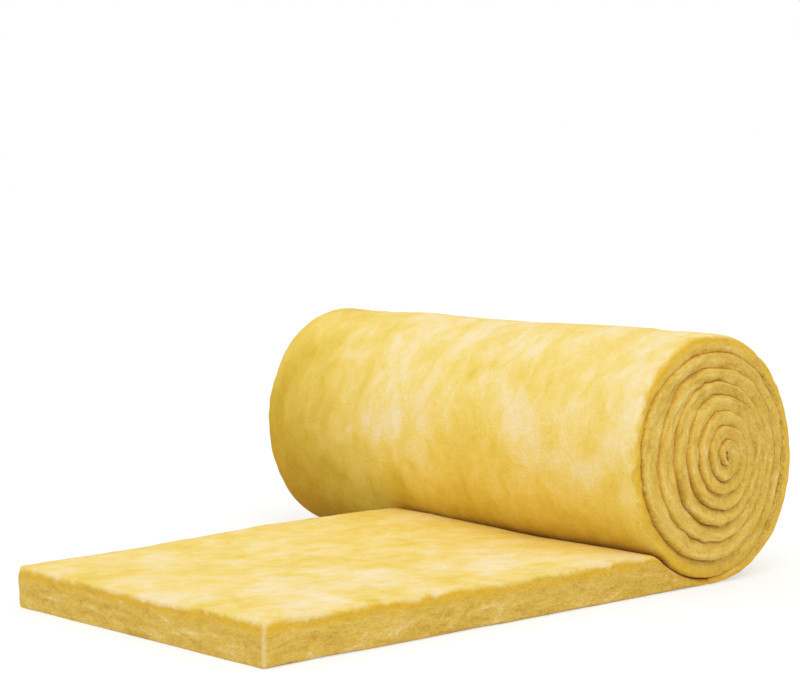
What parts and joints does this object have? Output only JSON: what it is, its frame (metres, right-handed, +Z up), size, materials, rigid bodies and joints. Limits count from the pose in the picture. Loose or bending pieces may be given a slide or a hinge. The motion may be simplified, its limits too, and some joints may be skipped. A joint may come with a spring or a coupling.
{
  "type": "insulation roll",
  "caption": "Soft glass wool mat wound into a roll with coiled ends, its loose end rolled out flat on the floor as a narrower tail.",
  "frame": {"origin": "middle of the whole object's footprint, on the floor it lies on", "axes": "+X from the tail's end towards the roll, across the roll's axis; +Y along the roll's axis from the near end, which is flush with the tail's side, to the far end; +Z up"},
  "size_m": [1.5099, 1.235, 0.54],
  "materials": {
    "glass_wool": "matt yellow glass wool, soft and fibrous, with paler and more golden clouds"
  },
  "bodies": {
    "root": {"glass_wool_mat": "glass_wool"}
  },
  "joints": []
}
